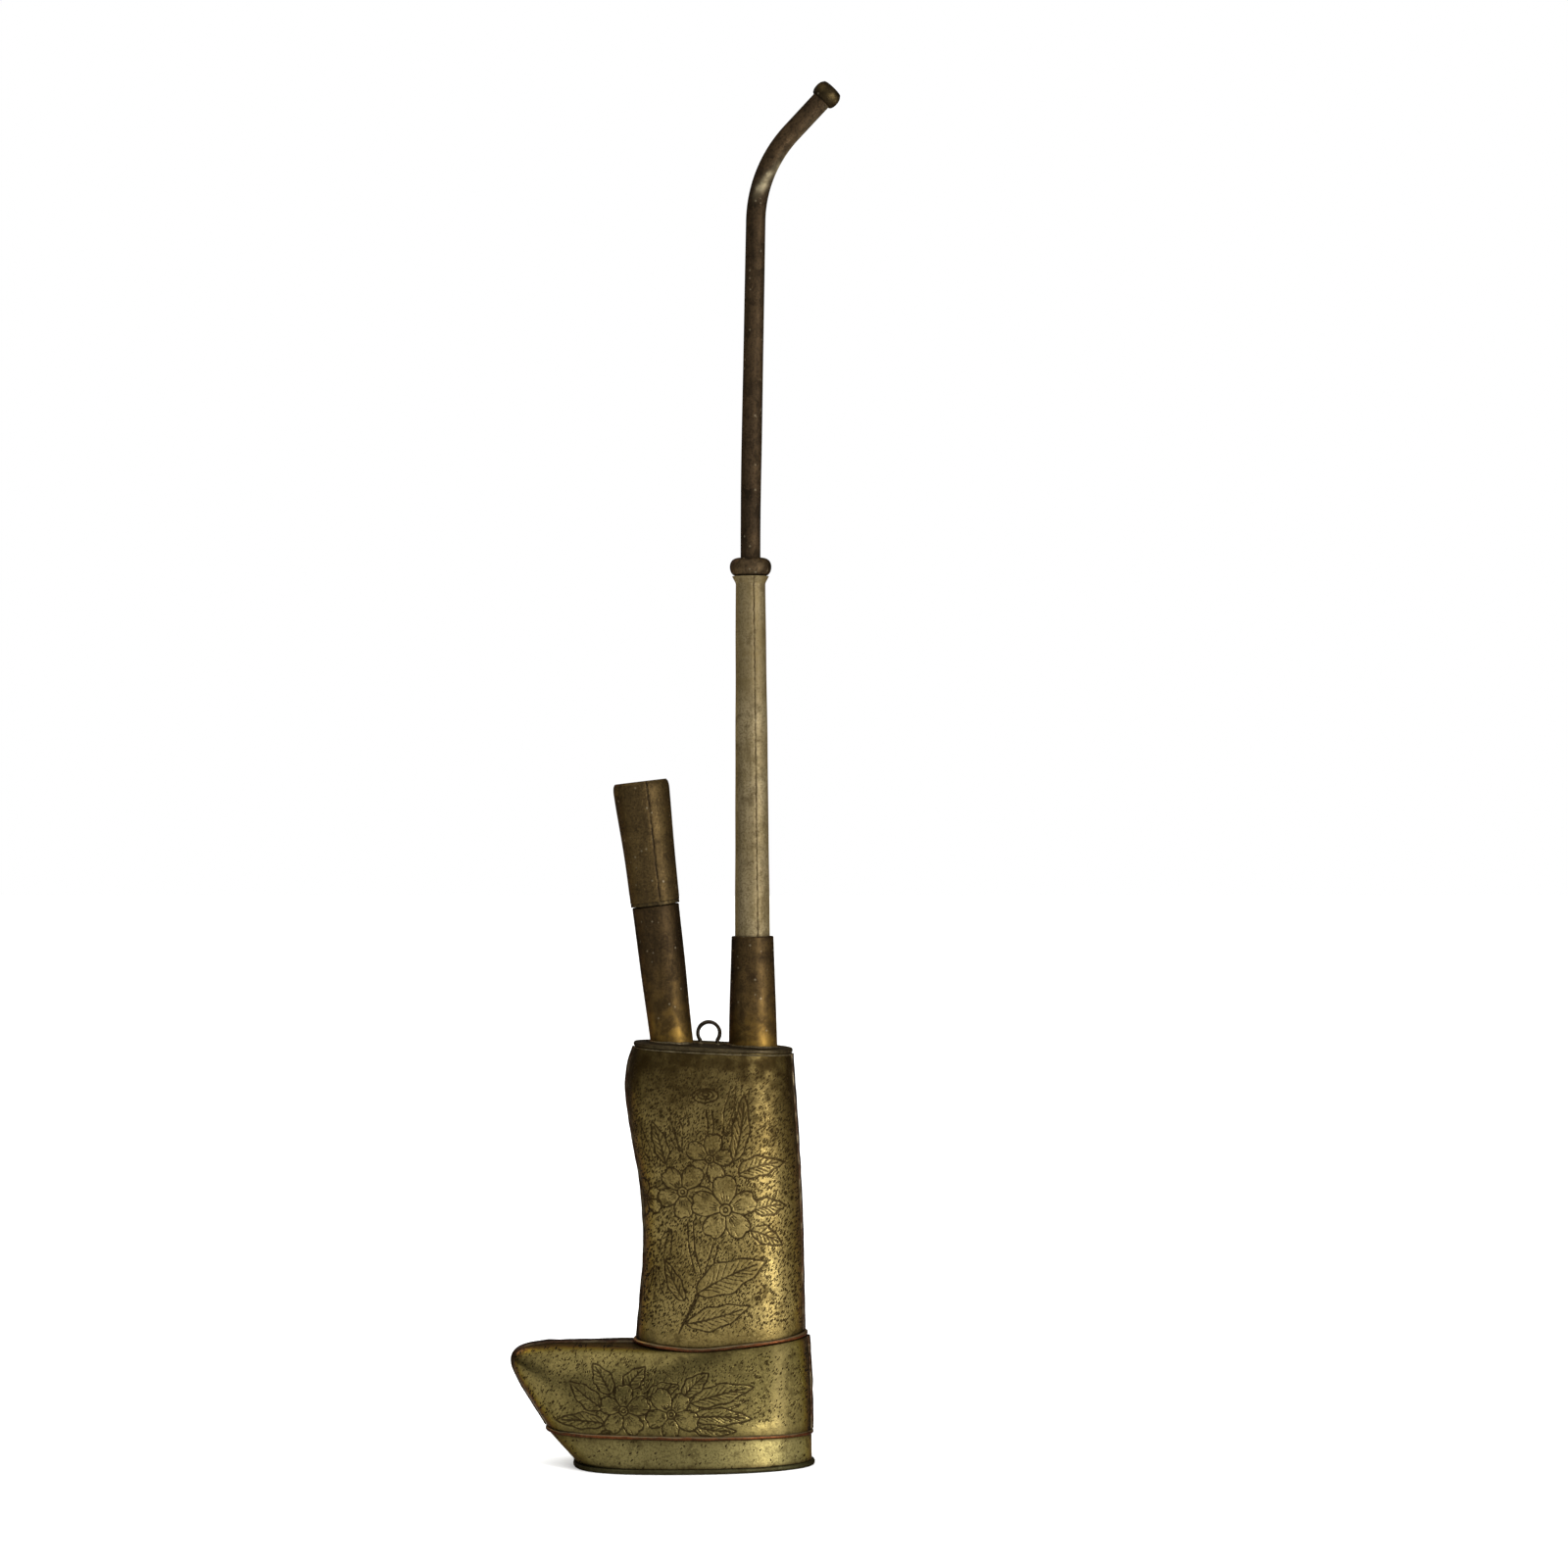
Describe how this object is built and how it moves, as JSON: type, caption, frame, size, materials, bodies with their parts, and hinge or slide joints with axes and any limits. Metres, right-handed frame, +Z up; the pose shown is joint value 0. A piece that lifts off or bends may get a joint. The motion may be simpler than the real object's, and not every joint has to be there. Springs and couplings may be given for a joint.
{
  "type": "water pipe",
  "caption": "Brass water pipe shaped as a riding boot, with a lift-out bowl tube at the front and a long bent stem at the back.",
  "frame": {"origin": "middle of the overall footprint, on the plane the sole stands on", "axes": "+Z up the leg and stem, +X from toe to heel, the symmetry plane is XZ"},
  "size_m": [0.0645, 0.028, 0.2701],
  "materials": {
    "engraved_brass": "aged, engraved",
    "tube_brass": "dark patina",
    "nickel_silver": "worn satin",
    "red_copper": "oxidised",
    "dark_copper": "dark brown patina",
    "inner_brass": "sooty"
  },
  "bodies": {
    "boot": {"leg_left_panel": "engraved_brass", "leg_right_panel": "engraved_brass", "foot_left_panel": "engraved_brass", "foot_right_panel": "engraved_brass", "shin_seam_strip": "red_copper", "calf_seam_strip": "red_copper", "instep_seam_strip": "red_copper", "heel_seam_strip": "red_copper", "topline_bead": "red_copper", "welt_strip": "red_copper", "sole_band": "engraved_brass", "sole_plate": "engraved_brass", "leg_top_plate": "tube_brass", "carry_loop": "dark_copper", "bowl_socket": "tube_brass", "stem_socket": "tube_brass"},
    "bowl": {"bowl_sleeve": "tube_brass", "bowl_spigot": "inner_brass", "bowl_cup": "inner_brass", "dip_tube": "inner_brass"},
    "stem_lower": {"stem_lower_tube": "nickel_silver"},
    "stem_upper": {"stem_collar": "dark_copper", "stem_upper_tube": "dark_copper", "mouthpiece": "dark_copper"}
  },
  "joints": [
    {"name": "bowl_lift", "type": "slide", "parent": "boot", "child": "bowl", "axis": [-0.1201, 0, 0.9928], "range_m": [0, 0.1]},
    {"name": "stem_pull", "type": "slide", "parent": "boot", "child": "stem_lower", "axis": [-0.0052, 0, 1], "range_m": [0, 0.022]},
    {"name": "stem_swivel", "type": "hinge", "parent": "stem_lower", "child": "stem_upper", "pos_m": [0.01467, 0, 0.1733], "axis": [-0.0052, 0, 1], "continuous": true}
  ]
}
